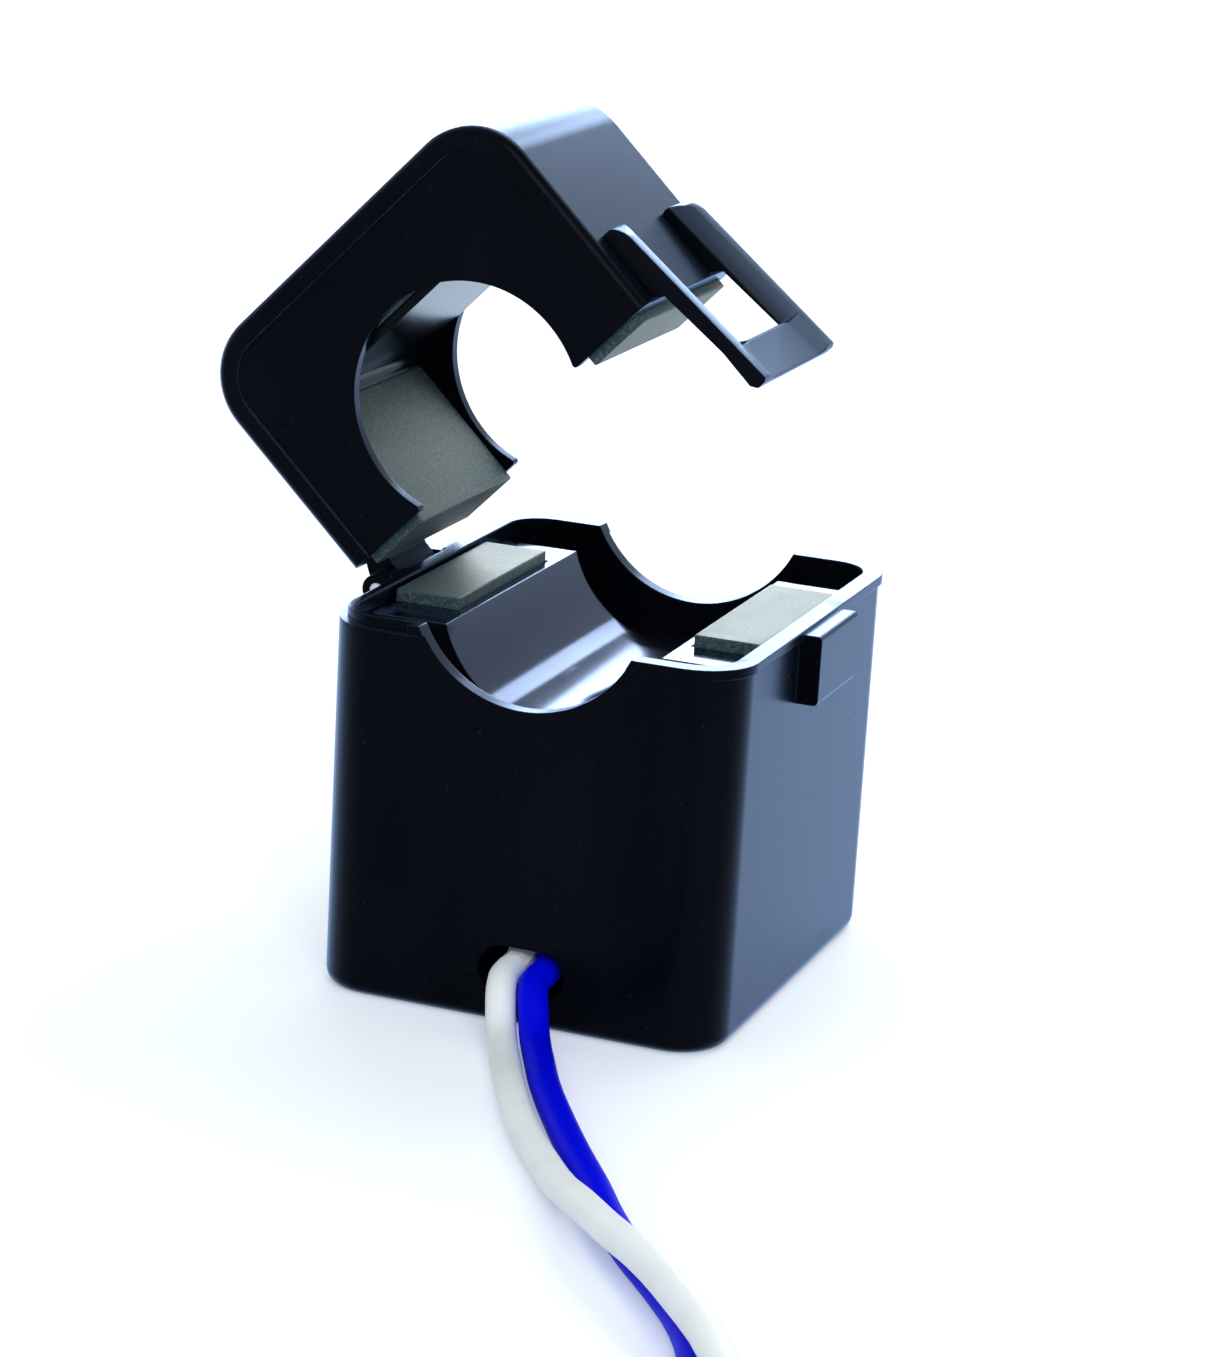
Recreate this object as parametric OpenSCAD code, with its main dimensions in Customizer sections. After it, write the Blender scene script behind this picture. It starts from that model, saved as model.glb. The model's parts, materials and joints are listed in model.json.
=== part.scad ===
// Split-core current transformer: a hinged case that snaps round a cable, with two loose leads.
// Millimetres. The origin is the middle of the flat underside, +X the latch side, -Y the lead side.

/* [Case] */
// Outside width, from the hinge wall to the latch wall
case_width = 30; // [29.5:0.25:33]
// Outside depth, along the cable
case_depth = 34.8; // [34:0.2:38]
// Height of the rim over the underside
rim_height = 27.3; // [27:0.1:28.5]
// Thickness of the walls
case_wall = 1.2; // [1:0.05:1.3]
// Thickness of the floor
case_floor = 1.5; // [1.2:0.1:1.8]
// Radius of the upright corners
case_corner = 3.9; // [3:0.1:5]
// Rounding of the lower edge
foot_round = 1; // [0.5:0.1:1.4]
// How far the bead stands out round the rim
bead_proud = 0.25; // [0.1:0.05:0.35]
// Height of the bead
bead_height = 0.7; // [0.4:0.1:1]
// Depth of the step that is cut into the rim beside the hinge
step_depth = 0.55; // [0.3:0.05:0.7]
// Height of that step
step_height = 0.8; // [0.5:0.1:1]

/* [Cable opening] */
// Height of the opening's middle over the rim
bore_over_rim = 3.7; // [3.4:0.1:4]
// Radius of the notches in the case's end walls
notch_radius = 8.5; // [8.3:0.1:8.8]
// Radius of the saddle between them
saddle_radius = 8.2; // [7.9:0.1:8.3]
// Height of the saddle's middle over the rim
saddle_over_rim = 1.1; // [0.9:0.1:1.3]
// Radius of the cut-outs in the lid's end walls
lid_cut_radius = 8.4; // [8.1:0.1:8.6]

/* [Inner cover] */
// How far the deck lies under the rim
deck_drop = 1.1; // [0.9:0.1:1.3]
// Thickness of the cover
cover_wall = 1.2; // [1:0.1:1.4]
// Length of the low well between the raised deck and each end of the case
well_length = 5.2; // [4.9:0.1:5.6]
// Gap between the cover and the case
cover_gap = 0.15; // [0.1:0.05:0.2]
// Gap round each core leg in its window
window_gap = 0.15; // [0.1:0.05:0.25]

/* [Cores] */
// Room between the cores and each end of the case
end_room = 9.3; // [9.3:0.1:9.7]
// Thickness of each leg
leg_thickness = 4.85; // [4.6:0.05:4.9]
// Thickness of each yoke
yoke_thickness = 4.85; // [4.5:0.05:5.1]
// Gap between the upper core and the lid's walls
core_gap = 0.1; // [0.05:0.05:0.2]
// How far the lower poles stand over the deck
pole_rise = 0.8; // [0.6:0.1:0.95]
// Air gap between the poles when the lid is shut
air_gap = 0.05; // [0.03:0.01:0.1]
// How far the lower yoke stands over the middle of the room between floor and cover
yoke_lift = 0.175; // [-0.2:0.025:0.4]
// Room for the spring between the upper core and the lid's top wall
spring_room = 0.8; // [0.6:0.1:1.2]

/* [Lid] */
// How far the lid's side walls stand in from the case's
lid_inset = 0.25; // [0.1:0.05:0.35]
// Height of the lid from its rim to its top
lid_height = 18.2; // [18.2:0.1:19]
// Gap between the two rims when the lid is shut
rim_gap = 0.4; // [0.3:0.05:0.5]
// Thickness of the lid's walls
lid_wall = 1.1; // [1:0.05:1.15]
// Radius of the lid's two top corners
lid_corner = 5; // [4.4:0.2:5.4]
// Rounding of the lid's front and back edges
lid_edge = 0.8; // [0.5:0.1:1]
// Width of the raised border on the lid's ends
border_width = 1.6; // [1.2:0.1:2]
// Depth of the panel inside that border
panel_depth = 0.25; // [0.15:0.05:0.35]
// How far the lid stands open, from shut
lid_open = 46; // [30:1:80]

/* [Hinge] */
// Distance from the hinge wall to the hinge's axis
hinge_out = 1.1; // [1.05:0.05:1.3]
// How far the axis lies under the rim
hinge_drop = 1.3; // [1.2:0.05:1.5]
// Radius of the knuckles
knuckle_radius = 1.1; // [1:0.05:1.15]
// Length of the whole hinge
hinge_length = 11.5; // [10.5:0.25:12.5]
// Length of the lid's middle knuckle
middle_length = 6.4; // [5.6:0.2:7]
// Gap between two knuckles
knuckle_gap = 0.15; // [0.1:0.05:0.25]
// Diameter of the hinge pin
pin_diameter = 1; // [0.9:0.05:1.1]
// Radial play of the lid's knuckle on the pin
pin_play = 0.04; // [0.02:0.01:0.08]
// Depth of the relief in the wall behind the middle knuckle
relief_depth = 0.3; // [0.2:0.05:0.35]

/* [Latch] */
// Width over both arms
latch_width = 14.8; // [14:0.2:15.2]
// Width of the window between the arms
window_width = 8.7; // [8.5:0.1:9]
// Height of the cross bar
bar_height = 3.3; // [2.8:0.1:3.5]
// Gap between the bar and the catch when the lid is shut
bar_gap = 0.1; // [0.05:0.05:0.2]
// Depth of the dish in the bar's face
dish_depth = 0.5; // [0.3:0.05:0.6]
// Height of the arms' upper ends over the rim
ear_height = 6.1; // [5.6:0.1:6.6]
// Length of the rounded nose at the top of each arm
nose_length = 1.9; // [1.4:0.1:2.4]
// Rounding of the arms' upper corners
ear_round = 0.5; // [0.2:0.1:1]
// How far the arms stand out of the lid's side beside the bar
arm_out = 2.38; // [2.2:0.02:2.6]
// Angle at which the arms lean out, in degrees
arm_lean = 4.9; // [3:0.1:6]
// Width of the catch
catch_width = 8.2; // [7.8:0.1:8.3]
// How far the catch stands out of the wall
catch_proud = 1.6; // [1.45:0.05:1.7]
// Height of the catch
catch_height = 4.95; // [4.6:0.05:5.1]
// Rounding of the catch's edges
catch_round = 0.35; // [0.2:0.05:0.5]

/* [Leads] */
// Diameter of each lead over its insulation
lead_diameter = 2.1; // [2:0.05:2.1]
// Diameter of the tinned wire inside
wire_diameter = 1.2; // [1:0.05:1.3]
// Length of each stripped end
tip_length = 6; // [4:0.5:8]
// Width of the lead slot
slot_width = 6.4; // [6:0.1:7]
// Height of the lead slot
slot_height = 3.6; // [3.3:0.1:4]
// Turns in each coil
coil_turns = 12; // [8:2:12]
// Distance from one turn to the next
coil_pitch = 2.6; // [2.6:0.05:2.8]
// Thickness of the coils' tie
tie_thickness = 0.8; // [0.6:0.1:0.9]
// Width of the tie
tie_width = 2.5; // [2:0.1:4]

/* [Hidden] */
eps = 0.01;
arc = 32;
round_arc = 64;
bore_arc = 96;

// The case
half_width = case_width / 2;
half_depth = case_depth / 2;
inner_half_width = half_width - case_wall;
inner_half_depth = half_depth - case_wall;
deck_z = rim_height - deck_drop;
bore_z = rim_height + bore_over_rim;
saddle_z = rim_height + saddle_over_rim;
well_z = saddle_z - saddle_radius;
deck_length = case_depth - 2 * well_length;
post_radius = 1.9;

// The cores and the lid round the upper one
lid_width = case_width - 2 * lid_inset;
core_depth = case_depth - 2 * end_room;
lid_depth = core_depth + 2 * (lid_wall + core_gap);
core_width = lid_width - 2 * (lid_wall + core_gap);
yoke_height = (case_floor + well_z - cover_wall - yoke_thickness) / 2 + yoke_lift;
leg_inner = core_width / 2 - leg_thickness;
core_corner = lid_corner - lid_wall - 0.9;
flat_foot = core_width / 2 - core_corner - leg_inner;
pole_z = deck_z + pole_rise;
pad_thickness = 0.4;
seat_inset = 2.6;
seat_length = core_depth - 2 * seat_inset;
seat = 0.02;
bobbin_wall = 0.8;
bobbin_gap = 0.1;
winding_build = 2.8;
tape_thickness = 0.2;
flange_lip = 0.25;
flange_thickness = 0.8;

// The lid, drawn shut
lid_rim_z = rim_height + rim_gap;
lid_top_z = lid_rim_z + lid_height;
upper_pole_z = pole_z + air_gap;
upper_core_top = lid_top_z - lid_wall - spring_room;
upper_yoke_z = upper_core_top - yoke_thickness;
upper_leg_length = upper_yoke_z - upper_pole_z;
liner_thickness = 0.7;
horn_round = 0.25;

// The hinge
hinge_x = -half_width - hinge_out;
hinge_z = rim_height - hinge_drop;

// The latch and its catch, from the lid's side wall and from the rim
lid_side = lid_width / 2;
catch_top = rim_height - 0.25;
catch_bottom = catch_top - catch_height;
bar_top = catch_bottom - bar_gap;
bar_bottom = bar_top - bar_height;
latch_wall = lid_side + 0.02;
latch_root = rim_height + 0.75;
latch_top = rim_height + ear_height;
latch_inner = 1.4;
raised_edge = 1.15;
bevel_slope = 0.42;

// The leads: where they leave the case, and the slot
white_x = 0.3;
white_z = 4.2;
blue_x = 2.5;
blue_z = 4.1;
slot_x = 0.9;
slot_z = 3.9;
lead_radius = lead_diameter / 2;
lead_back = -half_depth + 3.4;
lead_bend = 3;
lead_grip = 1.2;
lead_top_z = well_z - cover_wall - 4.5;
sleeve_radius = 1.5;
sleeve_length = 4.1;
sleeve_overlap = 1.6;

// Each lead's route over the table, out of the slot and on to its coil
white_route = [
    [0.3, -18.1, 4.2], [0.36, -19, 4.1], [0.62, -20, 3.75], [1.02, -21, 3.04],
    [1.55, -22.1, 1.93], [2.2, -23.4, 1.28], [3, -25, 1.1], [5.9, -30.8, 1.1], [9.3, -36.8, 1.1], [12.6, -41.6, 1.3],
    [15.4, -45.8, 1.9], [18.2, -49.3, 2.6], [21.1, -52.8, 3.1], [24.4, -56, 3.3],
    [28.1, -60.1, 3.3], [32.5, -65.8, 3.2], [36, -71.8, 2.3], [38.2, -78.2, 1.3],
    [39, -85.5, 1.2], [38.6, -93, 2.4], [37.3, -100.5, 4.7], [35.7, -107.3, 6.6]
];
blue_route = [
    [2.5, -18.1, 4.1], [2.58, -19, 4], [2.92, -20, 3.65], [3.42, -21, 2.94],
    [3.98, -22.1, 1.87], [4.65, -23.3, 1.28], [5.4, -24.7, 1.1], [7.75, -29.3, 1.1], [10.85, -34.5, 1.1],
    [13.85, -39.2, 1.1], [16.7, -43.4, 1.1], [19.3, -47.5, 1.1], [22, -51.2, 1.1],
    [25.2, -55, 1.1], [28.4, -59.3, 1.1], [31.1, -64.6, 1.1], [33.4, -70.6, 1.1], [35, -77.5, 1.1],
    [36, -85, 1.1], [36.3, -93, 1.1], [35.9, -101, 1.2], [35.2, -108, 1.6]
];

// The coils, one on the other, wound in and out again in two layers each
coil_x = 16;
coil_y = -120.5;
coil_start = 6;
coil_inner = 4.6;
coil_layers = 2;
coil_rings = 24;
coil_sides = 6;
half_turns = coil_turns / coil_layers;
coil_outer = coil_inner + half_turns * coil_pitch;
blue_coil_z = tie_thickness + 0.05 + lead_radius;
white_coil_z = blue_coil_z + coil_layers * coil_pitch;
coil_heading = [sin(coil_start), -cos(coil_start), 0];
coil_edge = [coil_x, coil_y, 0] + coil_outer * [cos(coil_start), sin(coil_start), 0];

// Which piece to build, or all of them

// Small helpers

function unit(v) = v / norm(v);

// The direction of a route at point i, from its neighbours.
function heading(route, i) =
    unit(route[min(i + 1, len(route) - 1)] - route[max(i - 1, 0)]);

// One ring of a tube, square to its direction. The reference is never along the route.
function ring(centre, direction, reference, radius, sides) =
    let (side = unit(cross(direction, reference)), up = cross(side, direction))
    [for (k = [0 : sides - 1])
        centre + radius * (cos(360 * (k + 0.5) / sides) * side + sin(360 * (k + 0.5) / sides) * up)];

// A round tube along a route, closed at both ends.
module tube(route, radius, sides, reference = [0, 0, 1]) {
    last = len(route) - 1;
    points = [for (i = [0 : last])
        each ring(route[i], heading(route, i), reference, radius, sides)];
    sides_faces = [for (i = [0 : last - 1]) for (k = [0 : sides - 1])
        let (a = i * sides + k, b = i * sides + (k + 1) % sides)
        each [[a, b, b + sides], [a, b + sides, a + sides]]];
    ends = [
        [for (k = [sides - 1 : -1 : 0]) k],
        [for (k = [0 : sides - 1]) last * sides + k]
    ];
    polyhedron(points = points, faces = concat(sides_faces, ends), convexity = 10);
}

// A profile drawn in X and Z, drawn out along Y about the middle.
module along_y(length) {
    rotate([90, 0, 0]) linear_extrude(height = length, center = true) children();
}

module box(low, high) {
    translate(low) cube(high - low);
}

// A plan outline of the case, larger or smaller by inset.
module case_plan(inset = 0) {
    offset(r = case_corner - inset, $fn = arc)
        square([case_width - 2 * case_corner, case_depth - 2 * case_corner], center = true);
}

// Turns the lid's pieces from shut to where the lid stands.
module opened_lid() {
    translate([hinge_x, 0, hinge_z]) rotate([0, -lid_open, 0]) translate([-hinge_x, 0, -hinge_z])
        children();
}

// The base and what is inside it

module lower_case() {
    color("#22262c") difference() {
        union() {
            case_shell();
            rim_bead();
            core_seats();
            cover_posts();
            catch();
            base_knuckles();
        }
        translate([0, 0, bore_z]) rotate([90, 0, 0])
            cylinder(r = notch_radius, h = case_depth + 2, center = true, $fn = bore_arc);
        rim_step();
        lead_slot();
        knuckle_relief();
        translate([hinge_x, 0, hinge_z]) rotate([90, 0, 0])
            cylinder(d = pin_diameter, h = hinge_length + 1, center = true, $fn = arc);
    }
}

// The open-topped box with its rounded foot.
module case_shell() {
    difference() {
        hull() {
            for (a = [0, 30, 60, 90])
                translate([0, 0, foot_round * (1 - sin(a))])
                    linear_extrude(height = eps) case_plan(foot_round * (1 - cos(a)));
            translate([0, 0, rim_height - eps]) linear_extrude(height = eps) case_plan();
        }
        translate([0, 0, case_floor]) linear_extrude(height = rim_height) case_plan(case_wall);
    }
}

// The bead round the rim, which stops short of the hinge wall's step.
module rim_bead() {
    translate([0, 0, rim_height - bead_height]) linear_extrude(height = bead_height)
        difference() {
            case_plan(-bead_proud);
            case_plan(case_wall / 2);
            translate([-half_width - 2, -half_depth - 2])
                square([2 + half_width - notch_radius, case_depth + 4]);
        }
}

// The step in the rim, from one notch round the hinge wall to the other.
module rim_step() {
    translate([0, 0, rim_height - step_height]) linear_extrude(height = step_height + 1)
        difference() {
            translate([-half_width - 2, -half_depth - 2])
                square([2 + half_width - notch_radius, case_depth + 4]);
            case_plan(step_depth);
            translate([-half_width - 3, -hinge_length / 2]) square([4, hinge_length]);
        }
}

// Two ribs on the floor, under the flat of the core beside its rounded corners.
module core_seats() {
    seat_top = yoke_height - pad_thickness - seat;
    for (side = [-1, 1])
        translate([side * (leg_inner + flat_foot / 2), 0, (case_floor - eps + seat_top) / 2])
            cube([flat_foot, seat_length, seat_top - case_floor + eps], center = true);
}

// Four posts in the corners, which carry the inner cover.
module cover_posts() {
    intersection() {
        linear_extrude(height = rim_height) case_plan(case_wall / 2);
        for (x = [-1, 1]) for (y = [-1, 1])
            translate([x * (inner_half_width - 0.9), y * (inner_half_depth - 0.9), case_floor - eps])
                cylinder(r = post_radius, h = well_z - cover_wall - seat - case_floor, $fn = arc);
    }
}

// The block on the latch wall that the latch hooks under.
module catch() {
    along_y(catch_width) intersection() {
        offset(r = catch_round, $fn = arc) offset(delta = -catch_round)
            translate([half_width - 1, catch_bottom]) square([catch_proud + 1, catch_height]);
        translate([half_width - 0.5, 0]) square([5, rim_height]);
    }
}

// The two knuckles beside the lid's, each on a bracket that tapers into the wall.
module base_knuckles() {
    for (side = [-1, 1])
        translate([0, side * (hinge_length + middle_length + 2 * knuckle_gap) / 4, 0])
            along_y((hinge_length - middle_length - 2 * knuckle_gap) / 2) union() {
                translate([hinge_x, hinge_z]) circle(r = knuckle_radius, $fn = arc);
                polygon([
                    [hinge_x, hinge_z + knuckle_radius], [-half_width + 0.3, hinge_z + knuckle_radius],
                    [-half_width + 0.3, hinge_z - 2.8 * knuckle_radius],
                    [hinge_x - 0.7 * knuckle_radius, hinge_z - 0.7 * knuckle_radius]
                ]);
            }
}

// Room for the lid's knuckle to turn in.
module knuckle_relief() {
    along_y(middle_length + 2 * knuckle_gap)
        translate([hinge_x, hinge_z - knuckle_radius - 0.3])
            square([-hinge_x - half_width + relief_depth, 5]);
}

module lead_slot() {
    translate([slot_x, -half_depth + case_wall / 2, slot_z])
        along_y(case_wall + 1) {
            square([slot_width - slot_height, slot_height], center = true);
            for (side = [-1, 1])
                translate([side * (slot_width - slot_height) / 2, 0])
                    circle(d = slot_height, $fn = arc);
        }
}

// The glossy insert: a deck on each side, the saddle between, and a low well at each end.
module inner_cover() {
    color("#343a42") difference() {
        intersection() {
            union() {
                along_y(deck_length) cover_section();
                for (side = [-1, 1])
                    translate([0, side * (deck_length - cover_wall) / 2, 0])
                        along_y(cover_wall) end_section();
                well_floor();
            }
            linear_extrude(height = 2 * rim_height) case_plan(case_wall + cover_gap);
        }
        for (side = [-1, 1])
            translate([side * (leg_inner + leg_thickness / 2), 0, rim_height])
                cube([
                    leg_thickness + 2 * window_gap, core_depth + 2 * window_gap, 2 * rim_height
                ], center = true);
    }
}

// The deck and the saddle, seen along the cable.
module cover_section() {
    intersection() {
        difference() {
            union() {
                translate([-half_width, deck_z - cover_wall]) square([case_width, cover_wall]);
                translate([0, saddle_z]) circle(r = saddle_radius + cover_wall, $fn = bore_arc);
            }
            translate([0, saddle_z]) circle(r = saddle_radius, $fn = bore_arc);
        }
        translate([-half_width, 0]) square([case_width, deck_z]);
    }
}

// The raised deck's end wall.
module end_section() {
    difference() {
        translate([-half_width, well_z - cover_wall])
            square([case_width, deck_z - well_z + cover_wall]);
        translate([0, saddle_z]) circle(r = saddle_radius, $fn = bore_arc);
    }
}

module well_floor() {
    for (side = [-1, 1])
        translate([0, side * (half_depth + deck_length / 2 - cover_wall) / 2, 0])
            along_y(half_depth - deck_length / 2 + cover_wall)
                translate([-half_width, well_z - cover_wall]) square([case_width, cover_wall]);
}

// A core drawn as a U that stands on its yoke, whose outer corners are rounded.
module core_section(leg_length) {
    high = yoke_thickness + leg_length;
    difference() {
        union() {
            translate([-core_width / 2, core_corner]) square([core_width, high - core_corner]);
            translate([-core_width / 2 + core_corner, 0])
                square([core_width - 2 * core_corner, high]);
            for (side = [-1, 1])
                translate([side * (core_width / 2 - core_corner), core_corner])
                    circle(r = core_corner, $fn = arc);
        }
        translate([-leg_inner, yoke_thickness]) square([2 * leg_inner, leg_length + 1]);
    }
}

module lower_core() {
    color("#8c9096") translate([0, 0, yoke_height])
        along_y(core_depth) core_section(pole_z - yoke_height - yoke_thickness);
}

// A foam pad between the core and each rib.
module core_pads() {
    color("#5c646c") for (side = [-1, 1])
        translate([side * (leg_inner + flat_foot / 2), 0, yoke_height - (pad_thickness + seat) / 2])
            cube([flat_foot - 0.1, seat_length - 0.4, pad_thickness - seat], center = true);
}

// The rectangle round the yoke, larger by grow, in Y and Z.
module yoke_section(grow) {
    square([core_depth + 2 * grow, yoke_thickness + 2 * grow], center = true);
}

// Draws a profile out along X, about the middle of the lower yoke.
module round_yoke(length) {
    translate([0, 0, yoke_height + yoke_thickness / 2])
        rotate([90, 0, 90]) linear_extrude(height = length, center = true) children();
}

module bobbin() {
    bore = bobbin_gap;
    lip = bobbin_gap + bobbin_wall + winding_build + tape_thickness + flange_lip;
    flange_x = leg_inner - bobbin_gap - flange_thickness / 2;
    color("#e8e4d8") difference() {
        union() {
            round_yoke(2 * flange_x) yoke_section(bobbin_gap + bobbin_wall);
            for (side = [-1, 1])
                translate([side * flange_x, 0, 0])
                    round_yoke(flange_thickness) offset(r = 1, $fn = arc) offset(delta = -1)
                        yoke_section(lip);
        }
        round_yoke(core_width) yoke_section(bore);
    }
}

function winding_length() = 2 * (leg_inner - bobbin_gap - flange_thickness) - 0.1;

module secondary_winding() {
    inner = bobbin_gap + bobbin_wall;
    color("#b5652a") round_yoke(winding_length()) difference() {
        offset(r = 1, $fn = arc) offset(delta = -1) yoke_section(inner + winding_build);
        yoke_section(inner + seat);
    }
}

module winding_tape() {
    outer = bobbin_gap + bobbin_wall + winding_build;
    color("#e0b040") round_yoke(winding_length()) difference() {
        offset(r = 1 + tape_thickness, $fn = arc) offset(delta = -1) yoke_section(outer);
        offset(r = 1 + seat, $fn = arc) offset(delta = -1) yoke_section(outer);
    }
}

module hinge_pin() {
    color("#c0c4c8") translate([hinge_x, 0, hinge_z]) rotate([90, 0, 0])
        cylinder(d = pin_diameter - 0.02, h = hinge_length, center = true, $fn = arc);
}

// Where a lead starts to lean aside over the retainer, and where it is upright again.
function lean_foot(z) = z + lead_bend + lead_grip;
function lean_head() = lead_top_z - sleeve_overlap - 0.3;

// How far aside a lead's sleeve stands, on the hinge side for -1 and the latch side for 1.
function sleeve_shift(z, side) = side * 0.6 * (lean_head() - lean_foot(z));

// The inner stretch of a lead: in through the slot, up behind the wall and out to its sleeve.
function inner_route(x, z, side) =
    concat(
        [[x, -half_depth, z], [x, lead_back - lead_bend, z]],
        [for (a = [22.5 : 22.5 : 90])
            [x, lead_back - lead_bend * (1 - sin(a)), z + lead_bend * (1 - cos(a))]],
        [for (t = [0, 60, 120, 180])
            [x + sleeve_shift(z, side) * (1 - cos(t)) / 2, lead_back,
                lean_foot(z) + (lean_head() - lean_foot(z)) * t / 180]],
        [[x + sleeve_shift(z, side), lead_back, lead_top_z]]
    );

module white_inner_lead() {
    color("#e8ece6") tube(inner_route(white_x, white_z, -1), lead_radius, 8, [1, 0, 0]);
}

module blue_inner_lead() {
    color("#1020d0") tube(inner_route(blue_x, blue_z, 1), lead_radius, 8, [1, 0, 0]);
}

// A plate behind the wall that both leads pass up through.
module lead_retainer() {
    color("#2c3036") difference() {
        box(
            [white_x - 2.4, -inner_half_depth, white_z + lead_bend + 0.1],
            [blue_x + 2.4, lead_back + 1.6, white_z + lead_bend + lead_grip]
        );
        for (x = [white_x, blue_x])
            translate([x, lead_back, 0])
                cylinder(r = lead_radius + 0.1, h = rim_height, $fn = arc);
    }
}

// Where each lead's sleeve stands.
function white_sleeve_x() = white_x + sleeve_shift(white_z, -1);
function blue_sleeve_x() = blue_x + sleeve_shift(blue_z, 1);

// Heat-shrink over the joint of a lead and the winding's end.
module joint_sleeve(x) {
    translate([x, lead_back, lead_top_z - sleeve_overlap]) difference() {
        cylinder(r = sleeve_radius, h = sleeve_length, $fn = arc);
        translate([0, 0, -1]) cylinder(r = lead_radius + 0.08, h = sleeve_length + 2, $fn = arc);
    }
}

module white_joint_sleeve() {
    color("#3a3d42") joint_sleeve(white_sleeve_x());
}

module blue_joint_sleeve() {
    color("#3a3d42") joint_sleeve(blue_sleeve_x());
}

// The winding's two ends, from the tape over to the leads inside their sleeves.
module winding_ends() {
    top = yoke_height + yoke_thickness + bobbin_gap + bobbin_wall + winding_build + tape_thickness;
    front = -core_depth / 2;
    wire = 0.25;
    color("#b5652a") for (x = [white_sleeve_x(), blue_sleeve_x()])
        tube([
            [x, lead_back, lead_top_z], [x, lead_back, lead_top_z + 2.6],
            [x, lead_back + 0.3, lead_top_z + 3.2], [x, lead_back + 1, lead_top_z + 3.5],
            [x, front - 2.9, top + 0.6], [x, front - 0.9, top + wire + seat],
            [x, front + 2.1, top + wire + seat]
        ], wire, 8, [1, 0, 0]);
}

// The lid and what is inside it

module upper_case() {
    color("#262a30") opened_lid() difference() {
        union() {
            difference() {
                lid_block();
                along_y(lid_depth - 2 * lid_wall) lid_profile(lid_wall);
                along_y(lid_depth + 2) lid_cut();
                end_panels();
            }
            lid_knuckle();
        }
        translate([hinge_x, 0, hinge_z]) rotate([90, 0, 0])
            cylinder(r = pin_diameter / 2 + pin_play, h = middle_length + 1, center = true, $fn = arc);
    }
}

// The lid seen along the cable, smaller by inset, and open below.
module lid_profile(inset = 0) {
    radius = lid_corner - inset;
    high = lid_top_z - inset;
    wide = lid_width / 2 - inset;
    translate([-wide, lid_rim_z - 2]) square([2 * wide, high - radius - lid_rim_z + 2]);
    translate([-wide + radius, lid_rim_z - 2]) square([2 * (wide - radius), high - lid_rim_z + 2]);
    for (side = [-1, 1])
        translate([side * (wide - radius), high - radius]) circle(r = radius, $fn = round_arc);
}

// The lid's solid form, with its front and back edges rounded.
module lid_block() {
    difference() {
        hull() for (side = [-1, 1]) for (a = [0, 30, 60, 90])
            translate([0, side * (lid_depth / 2 - eps / 2 - lid_edge * (1 - sin(a))), 0])
                along_y(eps) lid_profile(lid_edge * (1 - cos(a)));
        translate([0, 0, lid_rim_z - 5])
            cube([2 * lid_width, 2 * lid_depth, 10], center = true);
    }
}

// What the end walls leave open for the cable, with rounded horns.
module lid_cut() {
    offset(r = -horn_round, $fn = arc) offset(delta = horn_round) {
        translate([0, bore_z]) circle(r = lid_cut_radius, $fn = bore_arc);
        translate([-lid_width, lid_rim_z - 10]) square([2 * lid_width, 10]);
    }
}

// The sunk panels on the two ends.
module end_panels() {
    for (side = [-1, 1])
        translate([0, side * (lid_depth / 2), 0])
            along_y(2 * panel_depth) intersection() {
                lid_profile(border_width);
                translate([-lid_width, lid_rim_z]) square([2 * lid_width, lid_height]);
            }
}

// The lid's knuckle, on a web that runs tangent into its side wall.
module lid_knuckle() {
    along_y(middle_length) union() {
        translate([hinge_x, hinge_z]) circle(r = knuckle_radius, $fn = arc);
        polygon([
            [hinge_x - knuckle_radius, hinge_z], [hinge_x - 0.97 * knuckle_radius, hinge_z + 1.2],
            [-lid_side + 0.2, lid_rim_z + 4.6], [-lid_side + 0.2, lid_rim_z - eps],
            [-half_width + 0.1, lid_rim_z - 0.1], [-half_width - 0.05, hinge_z + 1.2],
            [-half_width - 0.05, hinge_z]
        ]);
    }
}

module upper_core() {
    color("#a8aca6") opened_lid() translate([0, 0, upper_core_top]) mirror([0, 0, 1])
        along_y(core_depth) core_section(upper_leg_length);
}

// A thin liner under the upper yoke, turned down a little at its sides.
module core_liner() {
    color("#15181c") opened_lid() along_y(core_depth) intersection() {
        difference() {
            translate([-leg_inner + 0.05, upper_yoke_z - 1.6])
                square([2 * leg_inner - 0.1, 1.6 - seat]);
            offset(r = 0.8, $fn = arc) offset(delta = -0.8)
                translate([-leg_inner + 0.05 + liner_thickness, upper_yoke_z - 6])
                    square([2 * (leg_inner - 0.05 - liner_thickness), 6 - liner_thickness]);
        }
        translate([-leg_inner, upper_yoke_z - 1.6]) square([2 * leg_inner, 2]);
    }
}

// A bowed strip that presses the upper core down.
module core_spring() {
    strip = 0.2;
    half = leg_inner - 0.7;
    rise = spring_room - strip - 2 * seat;
    color("#b8bcc0") opened_lid() translate([0, 0, upper_core_top + seat])
        along_y(core_depth / 2 - core_gap)
            polygon(concat(
                [for (a = [-90 : 11.25 : 90]) [half * a / 90, rise * cos(a)]],
                [for (a = [90 : -11.25 : -90]) [half * a / 90, rise * cos(a) + strip]]
            ));
}

// The snap latch, with its two arms, the window and the bar that hooks under the catch.
module latch() {
    color("#1d2126") opened_lid() difference() {
        intersection() {
            along_y(latch_width) latch_profile();
            latch_face();
        }
        bar_dish();
        window_bevels();
    }
}

// How far the arms' outer face stands out at a height.
function arm_face(z) = latch_wall + arm_out + (bar_top - z) * tan(arm_lean);

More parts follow.
